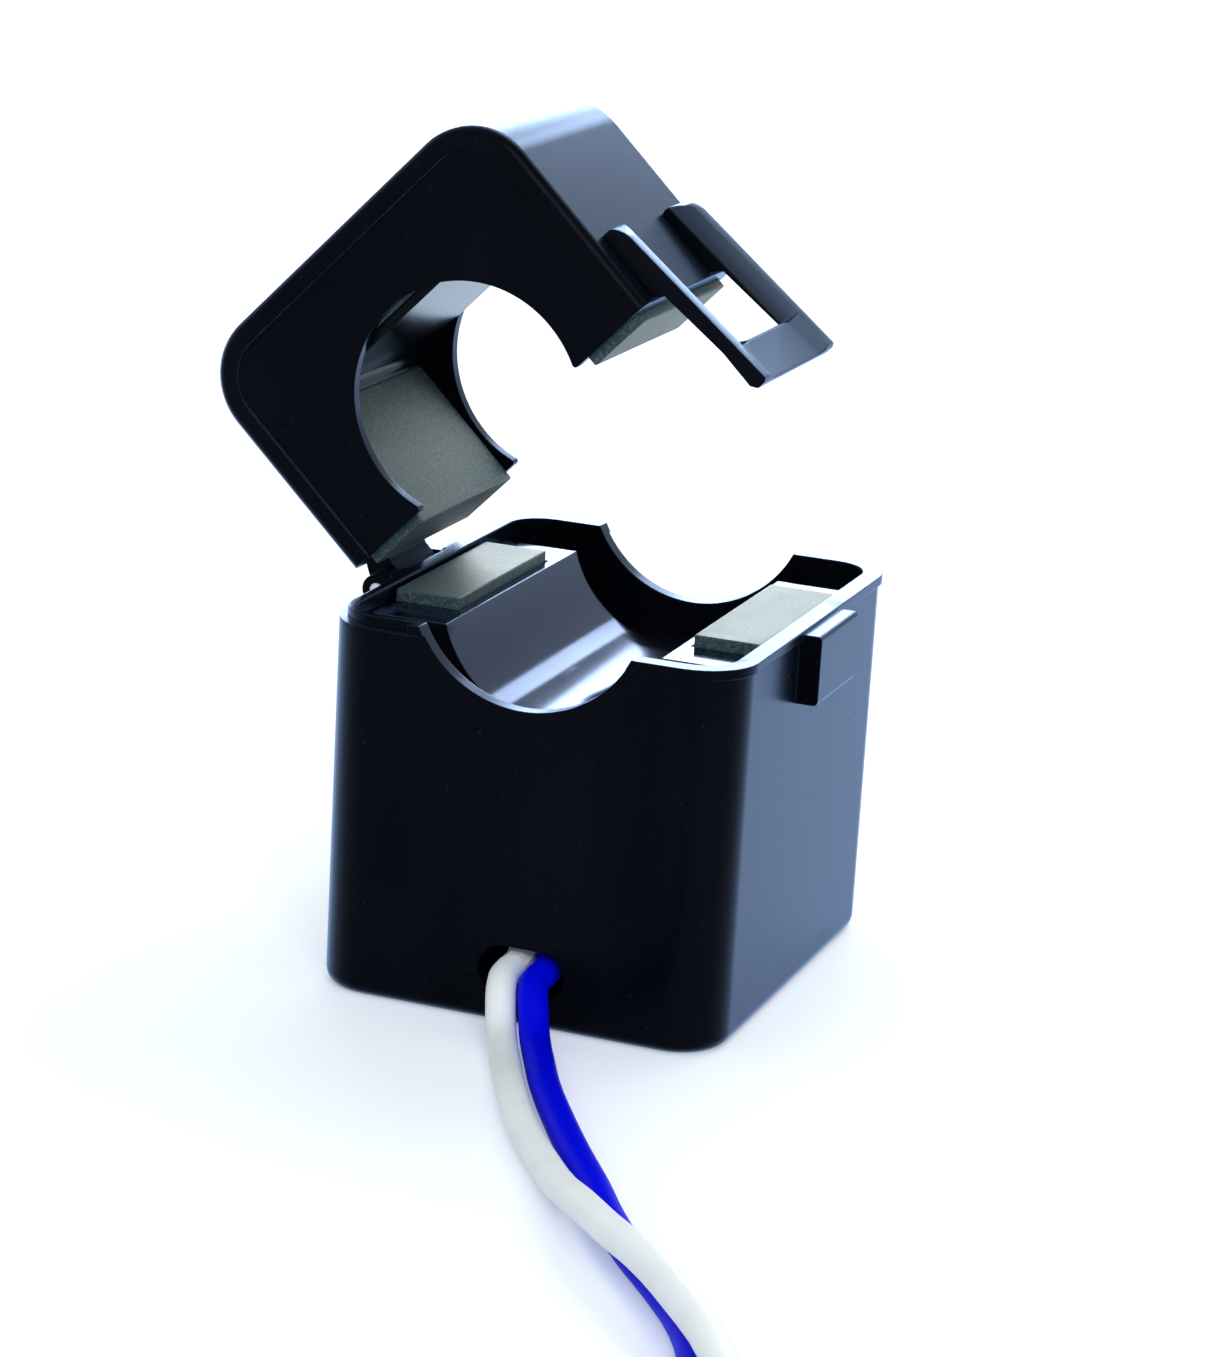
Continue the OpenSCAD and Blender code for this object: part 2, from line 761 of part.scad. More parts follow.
// The latch seen along the cable, from the nose at its root on the lid down to the bar.
module latch_profile() {
    nose_x = latch_wall + 0.3;
    nose_width = arm_face(latch_top - nose_length) - nose_x;
    polygon(concat(
        [[latch_wall, latch_root], [latch_wall, latch_top - 0.1]],
        [for (a = [90 : -15 : 0])
            [nose_x + nose_width * cos(a), latch_top - nose_length * (1 - sin(a))]],
        [
            [arm_face(bar_bottom + 0.2), bar_bottom + 0.2], [latch_wall + arm_out, bar_bottom],
            [latch_wall + latch_inner + 0.35, bar_bottom],
            [latch_wall + latch_inner, bar_bottom + 0.45], [latch_wall + latch_inner, bar_top],
            [latch_wall + 0.95, rim_height - 1.5], [latch_wall + 0.75, rim_height + 0.15]
        ]
    ));
}

// The latch seen from its side: rounded upper corners and the window.
module latch_face() {
    high = latch_top - bar_bottom;
    translate([lid_side - 1, 0, 0]) rotate([90, 0, 90]) linear_extrude(height = 3 * arm_out)
        difference() {
            union() {
                offset(r = ear_round, $fn = arc) offset(delta = -ear_round)
                    translate([-latch_width / 2, bar_bottom]) square([latch_width, high]);
                translate([-latch_width / 2, bar_bottom - 1]) square([latch_width, high / 2]);
            }
            translate([-window_width / 2, bar_top]) square([window_width, high]);
        }
}

// The hollow in the bar's outer face, between the arms' raised edges.
module bar_dish() {
    inner = latch_width / 2 - raised_edge;
    slope = dish_depth / bevel_slope;
    translate([latch_wall + arm_out - dish_depth, 0, bar_top]) rotate([0, -arm_lean, 0])
        translate([0, 0, -bar_height - 1]) linear_extrude(height = bar_height + 1)
            polygon([
                [0, -inner + slope], [0, inner - slope],
                [2 * dish_depth, inner + slope], [2 * dish_depth, -inner - slope]
            ]);
}

// The slope that leads each arm's outer face into the window, inside the raised edge.
module window_bevels() {
    reach = (latch_width - window_width) / 2 - raised_edge;
    for (side = [0, 1])
        mirror([0, side, 0]) translate([latch_wall + arm_out, window_width / 2, bar_top])
            rotate([0, -arm_lean, 0]) linear_extrude(height = latch_top - bar_bottom)
                polygon([
                    [bevel_slope, -1], [bevel_slope, reach + 1],
                    [-bevel_slope * (reach + 0.1), -0.1], [-bevel_slope * (reach + 0.1), -1]
                ]);
}

// The free leads

// Where the coil's lead-in begins, one diameter before the first turn.
function coil_entry(z) = coil_edge - lead_diameter * coil_heading + [0, 0, z];

module white_lead() {
    route = concat(
        [[white_x, -half_depth, white_z]], white_route,
        [coil_entry(white_coil_z) - 1.5 * coil_heading, coil_entry(white_coil_z)]
    );
    color("#e8ece6") tube(route, lead_radius, 8);
}

module blue_lead() {
    route = concat(
        [[blue_x, -half_depth, blue_z]], blue_route,
        [coil_entry(blue_coil_z) - 1.5 * coil_heading, coil_entry(blue_coil_z)]
    );
    color("#1020d0") tube(route, lead_radius, 8);
}

// A point of a coil after so many turns: the spiral comes in, climbs a layer and goes out again.
function coil_point(turns, z) =
    let (
        radius = coil_inner + coil_pitch * abs(turns - half_turns),
        climb = min(max(2 * (turns - half_turns) + 0.5, 0), 1),
        angle = coil_start - 360 * turns
    )
    [coil_x + radius * cos(angle), coil_y + radius * sin(angle), z + coil_pitch * climb];

function coil_turns_route(z) =
    [for (i = [0 : coil_turns * coil_rings]) coil_point(i / coil_rings, z)];

// Where a coil ends, one diameter past its last turn.
function coil_exit(z) = coil_edge + lead_diameter * coil_heading + [0, 0, z + coil_pitch];

function coil_route(z) = concat([coil_entry(z)], coil_turns_route(z), [coil_exit(z)]);

// The least gap between one turn of a coil and those over half a turn away.
function least_gap(route) =
    min([for (i = [0 : 4 : len(route) - 1])
        for (j = [i + coil_rings / 2 : 1 : len(route) - 1]) norm(route[i] - route[j])])
    - lead_diameter;

module white_coil() {
    echo(least_gap_white_coil = least_gap(coil_turns_route(white_coil_z)));
    color("#e8ece6") tube(coil_route(white_coil_z), lead_radius, coil_sides);
}

module blue_coil() {
    echo(least_gap_blue_coil = least_gap(coil_turns_route(blue_coil_z)));
    color("#1020d0") tube(coil_route(blue_coil_z), lead_radius, coil_sides);
}

// The tie round both coils, on the side away from the leads.
module coil_tie() {
    ease = 0.1;
    low = [coil_inner - lead_radius - ease, blue_coil_z - lead_radius - 0.05];
    high = [coil_outer + lead_radius + ease, white_coil_z + coil_pitch + lead_radius + ease];
    color("#f0f0ee") translate([coil_x, coil_y, 0]) rotate([0, 0, coil_start + 180])
        along_y(tie_width) difference() {
            offset(r = tie_thickness, $fn = arc) translate(low) square(high - low);
            translate(low) square(high - low);
        }
}

// A stripped end, tinned solid.
module tip(z) {
    translate(coil_exit(z)) rotate([0, 90, atan2(coil_heading[1], coil_heading[0])])
        cylinder(d = wire_diameter, h = tip_length, $fn = 16);
}

module white_tip() {
    color("#c8ccd0") tip(white_coil_z);
}

module blue_tip() {
    color("#c8ccd0") tip(blue_coil_z);
}

lower_case();
inner_cover();
lower_core();
core_pads();
bobbin();
secondary_winding();
winding_tape();
winding_ends();
hinge_pin();
lead_retainer();
white_inner_lead();
blue_inner_lead();
white_joint_sleeve();
blue_joint_sleeve();
upper_case();
upper_core();
core_liner();
core_spring();
latch();
white_lead();
blue_lead();
white_coil();
blue_coil();
coil_tie();
white_tip();
blue_tip();
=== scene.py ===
"""Looks of the split-core current transformer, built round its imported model.

Metres, in the frame of the CAD model: +X is the latch side, -Y the side of the leads, +Z up. The
camera, the leads and the tie hold their places and sizes in millimetres, as the part's source
does, apart from what their own comments name.
"""

import json
import logging
import math
from dataclasses import dataclass, field
from enum import Enum

import bmesh
import bpy
from mathutils import Matrix, Vector

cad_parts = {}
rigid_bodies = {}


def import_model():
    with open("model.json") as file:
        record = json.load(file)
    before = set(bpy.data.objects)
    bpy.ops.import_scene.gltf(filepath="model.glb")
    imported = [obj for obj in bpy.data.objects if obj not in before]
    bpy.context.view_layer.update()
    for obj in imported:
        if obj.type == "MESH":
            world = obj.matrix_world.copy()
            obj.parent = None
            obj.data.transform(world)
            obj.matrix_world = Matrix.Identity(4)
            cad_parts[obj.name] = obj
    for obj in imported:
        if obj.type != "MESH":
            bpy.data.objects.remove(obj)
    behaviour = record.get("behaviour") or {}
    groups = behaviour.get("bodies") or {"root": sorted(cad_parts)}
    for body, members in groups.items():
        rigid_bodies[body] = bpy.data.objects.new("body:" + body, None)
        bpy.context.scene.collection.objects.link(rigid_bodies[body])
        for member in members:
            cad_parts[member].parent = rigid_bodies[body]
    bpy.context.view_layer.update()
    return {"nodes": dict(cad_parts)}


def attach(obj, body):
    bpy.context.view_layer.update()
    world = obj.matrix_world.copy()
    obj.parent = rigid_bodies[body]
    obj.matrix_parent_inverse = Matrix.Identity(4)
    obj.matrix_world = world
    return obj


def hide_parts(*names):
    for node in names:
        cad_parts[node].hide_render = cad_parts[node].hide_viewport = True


LOG = logging.getLogger("current_sensor")
MM = 0.001
Pair = tuple[float, float]
Point = tuple[float, float, float]
Colour = tuple[float, float, float]
EVEN: Point = (1.0, 1.0, 1.0)
WHITE: Colour = (1.0, 1.0, 1.0)
UP = Vector((0.0, 0.0, 1.0))

# Sockets of a colour Mix node, whose names stand there more than once
MIX_SHARE, MIX_FIRST, MIX_SECOND, MIX_RESULT = 0, 6, 7, 2
# The blend at which Facing runs evenly from 0 straight on to 1 at the edge
EVEN_BLEND = 0.5
# How many rays the normal of a rounded edge is averaged over
EDGE_SAMPLES = 6


class Body(Enum):
    """The moving bodies of the sensor."""

    BASE = "base"
    LID = "lid"
    LATCH = "latch"


def shaded(colour: Colour, factor: float, lift: float = 0.0) -> Colour:
    """A colour times a factor, with a little added to each channel."""
    return tuple(factor * channel + lift for channel in colour)


def add_to_scene(name: str, data: bpy.types.ID) -> bpy.types.Object:
    """Makes an object from its data and links it to the scene.

    Args:
        name: The object's name.
        data: Its mesh, curve, camera or light.

    Returns:
        The object.
    """
    made = bpy.data.objects.new(name, data)
    bpy.context.scene.collection.objects.link(made)
    return made


@dataclass(frozen=True)
class Pattern:
    """Soft noise: the size of its patches in metres, finer layers, stretch and soft step."""

    size: float
    detail: float = 2.0
    stretch: Point = EVEN
    step: Pair = (0.0, 1.0)


@dataclass(frozen=True)
class Gloss:
    """How a polished surface mirrors: its share straight on and at grazing, tint and falloff."""

    straight: float
    grazing: float
    tint: Colour
    falloff: float


class Value:
    """A number, colour or vector in a shader, whose operators add the nodes that work it out."""

    def __init__(self, graph: "Graph", socket: bpy.types.NodeSocket) -> None:
        """Wraps a socket.

        Args:
            graph: The node graph that the socket belongs to.
            socket: The socket.
        """
        self.graph = graph
        self.socket = socket

    def _math(self, operation: str, first: "Value | float", second: "Value | float") -> "Value":
        """Adds one Math node for two numbers."""
        return self.graph.node("ShaderNodeMath", {"operation": operation}, {0: first, 1: second})

    def __add__(self, other: "Value | float") -> "Value":
        """The sum of both."""
        return self._math("ADD", self, other)

    def __radd__(self, other: "Value | float") -> "Value":
        """The sum of both."""
        return self._math("ADD", other, self)

    def __sub__(self, other: "Value | float") -> "Value":
        """This less the other."""
        return self._math("SUBTRACT", self, other)

    def __rsub__(self, other: "Value | float") -> "Value":
        """The other less this."""
        return self._math("SUBTRACT", other, self)

    def __mul__(self, other: "Value | float") -> "Value":
        """The product of both."""
        return self._math("MULTIPLY", self, other)

    def __rmul__(self, other: "Value | float") -> "Value":
        """The product of both."""
        return self._math("MULTIPLY", other, self)

    def power(self, exponent: float) -> "Value":
        """This raised to a power."""
        return self._math("POWER", self, exponent)

    def above(self, low: float, high: float) -> "Value":
        """A soft step from 0 at low to 1 at high.

        Args:
            low: Where the step starts.
            high: Where it ends.

        Returns:
            The step's value.
        """
        return self.graph.node(
            "ShaderNodeMapRange",
            {"interpolation_type": "SMOOTHSTEP"},
            {"Value": self, "From Min": low, "From Max": high},
        )


class Graph:
    """The node graph of a material, of the world or of a modifier."""

    def __init__(self, tree: bpy.types.NodeTree) -> None:
        """Empties a node tree and takes it over.

        Args:
            tree: The node tree.
        """
        self.tree = tree
        tree.nodes.clear()

    def node(
        self,
        kind: str,
        settings: dict[str, object] | None = None,
        inputs: dict[str | int, object] | None = None,
        output: str | int = 0,
    ) -> Value:
        """Adds a node.

        Args:
            kind: The node's type.
            settings: The node's own settings, which are set first.
            inputs: Values or links of its input sockets, by name or number.
            output: The output socket to return.

        Returns:
            The chosen output, or the first input of a node without outputs.
        """
        made = self.tree.nodes.new(kind)
        for name, value in (settings or {}).items():
            setattr(made, name, value)
        for name, value in (inputs or {}).items():
            socket = made.inputs[name]
            if isinstance(value, Value):
                self.tree.links.new(value.socket, socket)
            elif isinstance(value, tuple) and socket.type == "RGBA":
                socket.default_value = (*value, 1.0)
            else:
                socket.default_value = value
        return Value(self, made.outputs[output] if made.outputs else made.inputs[0])

    def place(self, stretch: Point) -> Value:
        """The point on the object, in metres, with each axis stretched.

        Args:
            stretch: The factor of each axis.

        Returns:
            The point.
        """
        return self.node(
            "ShaderNodeVectorMath",
            {"operation": "MULTIPLY"},
            {0: self.node("ShaderNodeTexCoord", output="Object"), 1: stretch},
        )

    def noise(self, pattern: Pattern) -> Value:
        """A pattern's soft noise, from 0 to 1.

        Args:
            pattern: The pattern.

        Returns:
            The noise.
        """
        return self.node("ShaderNodeTexNoise", None, {
            "Vector": self.place(pattern.stretch),
            "Scale": 1.0 / pattern.size,
            "Detail": pattern.detail,
        })

    def patches(self, pattern: Pattern) -> Value:
        """A pattern's patches: 1 on them and 0 between them."""
        return self.noise(pattern).above(*pattern.step)

    def mix(self, share: Value, first: Value | Colour, second: Value | Colour) -> Value:
        """A mix of two colours.

        Args:
            share: How much of the second colour.
            first: The first colour.
            second: The second colour.

        Returns:
            The mixed colour.
        """
        return self.node(
            "ShaderNodeMix",
            {"data_type": "RGBA"},
            {MIX_SHARE: share, MIX_FIRST: first, MIX_SECOND: second},
            MIX_RESULT,
        )

    def rounded_edges(self, radius: float) -> Value:
        """A normal that rounds sharp edges over a small radius."""
        return self.node("ShaderNodeBevel", {"samples": EDGE_SAMPLES}, {"Radius": radius}, "Normal")

    def bump(
        self, height: Value, depth: float, strength: float, normal: Value | None = None
    ) -> Value:
        """A bumpy normal.

        Args:
            height: The height, from 0 to 1.
            depth: What a height of 1 means, in metres.
            strength: How strongly it shows.
            normal: The normal below it, or None for the surface's own.

        Returns:
            The normal.
        """
        inputs = {"Height": height, "Distance": depth, "Strength": strength}
        if normal is not None:
            inputs["Normal"] = normal
        return self.node("ShaderNodeBump", None, inputs, "Normal")

    def finish_surface(self, inputs: dict[str | int, object]) -> None:
        """Ends the graph in one Principled shader with these inputs."""
        shader = self.node("ShaderNodeBsdfPrincipled", None, inputs)
        self.node("ShaderNodeOutputMaterial", None, {"Surface": shader})

    def finish_glossed(
        self, inputs: dict[str | int, object], gloss: Gloss, roughness: Value, normal: Value
    ) -> None:
        """Ends the graph in a Principled shader under a tinted gloss that grows towards the edge.

        Args:
            inputs: The Principled shader's inputs other than roughness and normal.
            gloss: How strong the gloss is and its tint.
            roughness: The roughness of both.
            normal: The normal of both.
        """
        shared = {"Roughness": roughness, "Normal": normal}
        body = self.node("ShaderNodeBsdfPrincipled", None, {**inputs, **shared})
        shine = self.node(
            "ShaderNodeBsdfAnisotropic", {"distribution": "GGX"}, {"Color": gloss.tint, **shared}
        )
        facing = self.node("ShaderNodeLayerWeight", None, {"Blend": EVEN_BLEND}, "Facing")
        share = facing.power(gloss.falloff) * (gloss.grazing - gloss.straight) + gloss.straight
        both = self.node("ShaderNodeMixShader", None, {0: share, 1: body, 2: shine})
        self.node("ShaderNodeOutputMaterial", None, {"Surface": both})


@dataclass(frozen=True)
class Finish:
    """A finish, which makes one material; edge is the radius that its edges seem to have."""

    name: str
    colour: Colour
    roughness: float
    edge: float = 0.15 * MM

    def material(self) -> bpy.types.Material:
        """The finish's material, made once.

        Returns:
            The material.
        """
        found = bpy.data.materials.get(self.name)
        if found is not None:
            return found
        made = bpy.data.materials.new(self.name)
        made.use_nodes = True
        self.build(Graph(made.node_tree))
        made.diffuse_color = (*self.colour, 1.0)
        return made

    def build(self, graph: Graph) -> None:
        """Builds the material's nodes; each kind of finish has its own."""
        raise NotImplementedError


@dataclass(frozen=True)
class MouldedPlastic(Finish):
    """Black moulded plastic: a fine grain, faint flow marks, hairline scuffs and a little dust."""

    gloss: Gloss = Gloss(0.001, 1.0, (0.36, 0.58, 1.0), 4.8)
    specular: float = 0.02
    grain: Pattern = Pattern(0.11 * MM, 3.0)
    grain_depth: float = 0.02 * MM
    grain_strength: float = 0.12
    flow: Pattern = Pattern(6.0 * MM, stretch=(1.0, 1.0, 0.35), step=(0.3, 0.75))
    flow_factor: float = 1.5
    flow_lift: float = 0.0008
    flow_sheen: float = 0.05
    scuffs: Pattern = Pattern(0.5 * MM, 4.0, (0.12, 0.12, 1.0), (0.66, 0.74))
    scuff_roughness: float = 0.1
    dust: Pattern = Pattern(0.35 * MM, 1.0, step=(0.72, 0.78))
    dust_share: float = 0.1
    dust_colour: Colour = (0.06, 0.07, 0.09)

    def build(self, graph: Graph) -> None:
        """Builds the plastic's nodes.

        Args:
            graph: The material's node graph.
        """
        flow = graph.noise(self.flow)
        paler = shaded(self.colour, self.flow_factor, self.flow_lift)
        colour = graph.mix(flow.above(*self.flow.step), self.colour, paler)
        colour = graph.mix(graph.patches(self.dust) * self.dust_share, colour, self.dust_colour)
        scuffed = graph.patches(self.scuffs) * self.scuff_roughness + self.roughness
        normal = graph.bump(
            graph.noise(self.grain), self.grain_depth, self.grain_strength,
            graph.rounded_edges(self.edge),
        )
        graph.finish_glossed(
            {"Base Color": colour, "Specular IOR Level": self.specular},
            self.gloss, (flow - 0.5) * self.flow_sheen + scuffed, normal,
        )


@dataclass(frozen=True)
class Ferrite(Finish):
    """Sintered ferrite: dark grey and half glossy, with fine pits, specks and lapping marks."""

    gloss: Gloss = Gloss(0.003, 0.19, (0.74, 0.95, 1.0), 2.4)
    specular: float = 0.1
    cloud: Pattern = Pattern(2.5 * MM, 3.0, step=(0.3, 0.7))
    cloud_roughness: float = 0.12
    olive_shift: Point = (1.0, 0.94, 0.8)
    specks: Pattern = Pattern(0.2 * MM, 4.0, step=(0.42, 0.62))
    speck_factor: float = 2.0
    pits: Pattern = Pattern(0.22 * MM, step=(0.66, 0.72))
    pit_share: float = 0.6
    pit_factor: float = 0.4
    lapping: Pattern = Pattern(0.12 * MM, 1.0, (1.0, 0.06, 1.0))
    relief_share: float = 0.5
    relief_depth: float = 0.04 * MM
    relief_strength: float = 0.4

    def build(self, graph: Graph) -> None:
        """Builds the ferrite's nodes.

        Args:
            graph: The material's node graph.
        """
        cloud = graph.noise(self.cloud)
        specks = graph.noise(self.specks)
        pits = graph.patches(self.pits)
        olive = tuple(channel * shift for channel, shift in zip(self.colour, self.olive_shift))
        colour = graph.mix(cloud.above(*self.cloud.step), olive, self.colour)
        paler = shaded(self.colour, self.speck_factor)
        colour = graph.mix(specks.above(*self.specks.step), colour, paler)
        colour = graph.mix(pits * self.pit_share, colour, shaded(self.colour, self.pit_factor))
        lapping = graph.noise(self.lapping)
        height = specks * self.relief_share + lapping * self.relief_share - pits
        normal = graph.bump(
            height, self.relief_depth, self.relief_strength, graph.rounded_edges(self.edge)
        )
        graph.finish_glossed(
            {"Base Color": colour, "Specular IOR Level": self.specular},
            self.gloss, cloud * self.cloud_roughness + self.roughness, normal,
        )


@dataclass(frozen=True)
class Insulation(Finish):
    """Smooth wire insulation or nylon: a little waxy, with a faint relief and dull patches."""

    specular: float = 0.3
    dull: Pattern = Pattern(3.0 * MM, step=(0.35, 0.7))
    dull_factor: float = 0.95
    dull_roughness: float = 0.1
    relief: Pattern = Pattern(0.25 * MM)
    relief_depth: float = 0.03 * MM
    relief_strength: float = 0.08

    def build(self, graph: Graph) -> None:
        """Builds the insulation's nodes.

        Args:
            graph: The material's node graph.
        """
        dull = graph.noise(self.dull)
        darker = shaded(self.colour, self.dull_factor)
        graph.finish_surface({
            "Base Color": graph.mix(dull.above(*self.dull.step), self.colour, darker),
            "Roughness": dull * self.dull_roughness + self.roughness,
            "Specular IOR Level": self.specular,
            "Normal": graph.bump(
                graph.noise(self.relief), self.relief_depth, self.relief_strength
            ),
        })


@dataclass(frozen=True)
class Metal(Finish):
    """Drawn or rolled metal with fine lines, stretched one way or even, and faint stains."""

    stretch: Point = (1.0, 0.1, 1.0)
    line_size: float = 0.15 * MM
    line_detail: float = 3.0
    line_roughness: float = 0.15
    line_depth: float = 0.02 * MM
    line_strength: float = 0.2
    stain: Pattern = Pattern(1.5 * MM, step=(0.4, 0.8))
    stain_factor: float = 0.75

    def build(self, graph: Graph) -> None:
        """Builds the metal's nodes.

        Args:
            graph: The material's node graph.
        """
        lines = graph.noise(Pattern(self.line_size, self.line_detail, self.stretch))
        stained = shaded(self.colour, self.stain_factor)
        graph.finish_surface({
            "Base Color": graph.mix(graph.patches(self.stain), self.colour, stained),
            "Metallic": 1.0,
            "Roughness": lines * self.line_roughness + self.roughness,
            "Normal": graph.bump(
                lines, self.line_depth, self.line_strength, graph.rounded_edges(self.edge)
            ),
        })


@dataclass(frozen=True)
class SoftStuff(Finish):
    """Foam, film, a moulded former or shrink tube: matte and slightly mottled."""

    cells: Pattern = Pattern(0.3 * MM, step=(0.3, 0.75))
    cell_factor: float = 0.7
    relief_depth: float = 0.1 * MM
    relief_strength: float = 0.3
    cloud: Pattern = Pattern(4.0 * MM)
    cloud_roughness: float = 0.1

    def build(self, graph: Graph) -> None:
        """Builds the stuff's nodes.

        Args:
            graph: The material's node graph.
        """
        cells = graph.noise(self.cells)
        darker = shaded(self.colour, self.cell_factor)
        graph.finish_surface({
            "Base Color": graph.mix(cells.above(*self.cells.step), darker, self.colour),
            "Roughness": graph.noise(self.cloud) * self.cloud_roughness + self.roughness,
            "Normal": graph.bump(cells, self.relief_depth, self.relief_strength),
        })


# The finishes: name, colour, roughness and, where edges are rounded, their radius
CASE_BLACK = MouldedPlastic("case_black", (0.001, 0.0015, 0.0034), 0.26, 0.22 * MM)
COVER_BLACK = MouldedPlastic(
    "cover_black", (0.0014, 0.0018, 0.003), 0.1, 0.25 * MM,
    gloss=Gloss(0.006, 1.0, (0.42, 0.6, 1.0), 4.3), grain_strength=0.03,
)
LINER_BLACK = MouldedPlastic(
    "liner_black", (0.0014, 0.0018, 0.003), 0.16, 0.2 * MM,
    gloss=Gloss(0.003, 0.6, (0.6, 0.8, 1.0), 4.5), grain_strength=0.05,
)
LATCH_BLACK = MouldedPlastic(
    "latch_black", (0.0014, 0.0018, 0.0032), 0.36, 0.28 * MM,
    gloss=Gloss(0.002, 0.62, (0.38, 0.6, 1.0), 2.9),
)
FERRITE_GREY = Ferrite("ferrite_grey", (0.032, 0.054, 0.061), 0.4, 0.12 * MM)
PIN_STEEL = Metal("drawn_pin", (0.55, 0.56, 0.58), 0.3)
SPRING_STEEL = Metal("leaf_spring", (0.5, 0.51, 0.54), 0.28, stretch=(0.1, 1.0, 1.0))
TINNED = Metal("tinned_strands", (0.75, 0.76, 0.77), 0.25, stretch=EVEN)
COPPER = Metal("enamelled_copper", (0.62, 0.22, 0.08), 0.3, stretch=(0.05, 1.0, 1.0))
FOAM = SoftStuff("pad_foam", (0.05, 0.05, 0.06), 0.85)
BOBBIN_NYLON = SoftStuff("bobbin_nylon", (0.75, 0.72, 0.64), 0.45, relief_strength=0.1)
TAPE_FILM = SoftStuff("tape_film", (0.7, 0.45, 0.08), 0.3, relief_strength=0.1)
SHRINK_TUBE = SoftStuff("shrink_tube", (0.02, 0.02, 0.022), 0.45, relief_strength=0.15)
TIE_NYLON = Insulation("tie_nylon", (0.72, 0.73, 0.7), 0.35, relief_strength=0.05)
WHITE_PVC = Insulation("white_pvc", (0.84, 0.92, 0.94), 0.38)
BLUE_PVC = Insulation("blue_pvc", (0.0, 0.002, 0.76), 0.4, specular=0.04)


@dataclass(frozen=True)
class EdgeRounding:
    """Smooth shading of a piece's curved faces, and its sharp edges broken where width is set."""

    width: float = 0.0
    segments: int = 2
    crease: float = math.radians(34.0)
    flatness: float = math.radians(0.4)
    weld: float = 0.001 * MM

    def apply(self, piece: bpy.types.Object) -> None:
        """Adds the modifiers to a piece; its own mesh stays as it is.

        Args:
            piece: The piece.
        """
        shading = piece.modifiers.new("smooth_faces", "NODES")
        shading.node_group = self.shading_group()
        flat = piece.modifiers.new("flat_faces", "DECIMATE")
        flat.decimate_type = "DISSOLVE"
        flat.angle_limit = self.flatness
        if self.width > 0.0:
            bevel = piece.modifiers.new("broken_edges", "BEVEL")
            bevel.width = self.width
            bevel.segments = self.segments
            bevel.limit_method = "ANGLE"
            bevel.angle_limit = self.crease
        normals = piece.modifiers.new("even_normals", "WEIGHTED_NORMAL")
        normals.keep_sharp = True

    def shading_group(self) -> bpy.types.NodeTree:
        """The node group that joins doubled corners and smooths all but the creases.

        Returns:
            The group, made once for each crease angle.
        """
        name = f"smooth_below_{round(math.degrees(self.crease))}"
        found = bpy.data.node_groups.get(name)
        if found is not None:
            return found
        made = bpy.data.node_groups.new(name, "GeometryNodeTree")
        for way in ("INPUT", "OUTPUT"):
            made.interface.new_socket("Geometry", in_out=way, socket_type="NodeSocketGeometry")
        graph = Graph(made)
        joined = graph.node("GeometryNodeMergeByDistance", None, {
            "Geometry": graph.node("NodeGroupInput"), "Distance": self.weld
        })
        smooth = graph.node("GeometryNodeSetShadeSmooth", {"domain": "FACE"}, {
            "Geometry": joined, "Shade Smooth": True
        })
        folded = graph.node("FunctionNodeCompare", {"operation": "GREATER_THAN"}, {
            "A": graph.node("GeometryNodeInputMeshEdgeAngle"), "B": self.crease
        })
        creased = graph.node("GeometryNodeSetShadeSmooth", {"domain": "EDGE"}, {
            "Geometry": smooth, "Selection": folded, "Shade Smooth": False
        })
        graph.node("NodeGroupOutput", None, {"Geometry": creased})
        return made


@dataclass
class Assembly:
    """A sub-assembly whose CAD nodes are dressed with finishes and have their edges eased."""

    nodes: dict[str, bpy.types.Object]
    body: Body = Body.BASE
    finishes: dict[str, Finish] = field(default_factory=dict)
    rounding: dict[str, EdgeRounding] = field(default_factory=dict)

    def dress(self) -> None:
        """Gives each CAD node its finish and its edges."""
        for name, finish in self.finishes.items():
            node = self.nodes[name]
            node.data.materials.clear()
            node.data.materials.append(finish.material())
            self.rounding.get(name, EdgeRounding()).apply(node)
            LOG.info("%s on body %s dressed in %s", name, self.body.value, finish.name)


@dataclass
class Base(Assembly):
    """The case with its cover, core and winding."""

    finishes: dict[str, Finish] = field(default_factory=lambda: {
        "lower_case": CASE_BLACK, "inner_cover": COVER_BLACK, "lower_core": FERRITE_GREY,
        "core_pads": FOAM, "bobbin": BOBBIN_NYLON, "secondary_winding": COPPER,
        "winding_tape": TAPE_FILM, "winding_ends": COPPER, "hinge_pin": PIN_STEEL,
        "lead_retainer": CASE_BLACK, "white_inner_lead": WHITE_PVC, "blue_inner_lead": BLUE_PVC,
        "white_joint_sleeve": SHRINK_TUBE, "blue_joint_sleeve": SHRINK_TUBE,
    })
    rounding: dict[str, EdgeRounding] = field(default_factory=lambda: {
        "lower_case": EdgeRounding(0.15 * MM), "inner_cover": EdgeRounding(0.15 * MM),
        "lower_core": EdgeRounding(0.12 * MM),
    })


@dataclass
class Lid(Assembly):
    """The lid with its core, liner and spring."""

    body: Body = Body.LID
    finishes: dict[str, Finish] = field(default_factory=lambda: {
        "upper_case": CASE_BLACK, "upper_core": FERRITE_GREY, "core_liner": LINER_BLACK,
        "core_spring": SPRING_STEEL,
    })
    rounding: dict[str, EdgeRounding] = field(default_factory=lambda: {
        "upper_case": EdgeRounding(0.1 * MM), "upper_core": EdgeRounding(0.12 * MM),
    })


@dataclass
class Latch(Assembly):
    """The snap latch."""

    body: Body = Body.LATCH
    finishes: dict[str, Finish] = field(default_factory=lambda: {"latch": LATCH_BLACK})
    rounding: dict[str, EdgeRounding] = field(default_factory=lambda: {
        "latch": EdgeRounding(0.22 * MM, 3)
    })


# The middle of both coils and where on them the leads come in, in millimetres and degrees
COIL_CENTRE: Pair = (16.0, -120.5)
COIL_START = 6.0


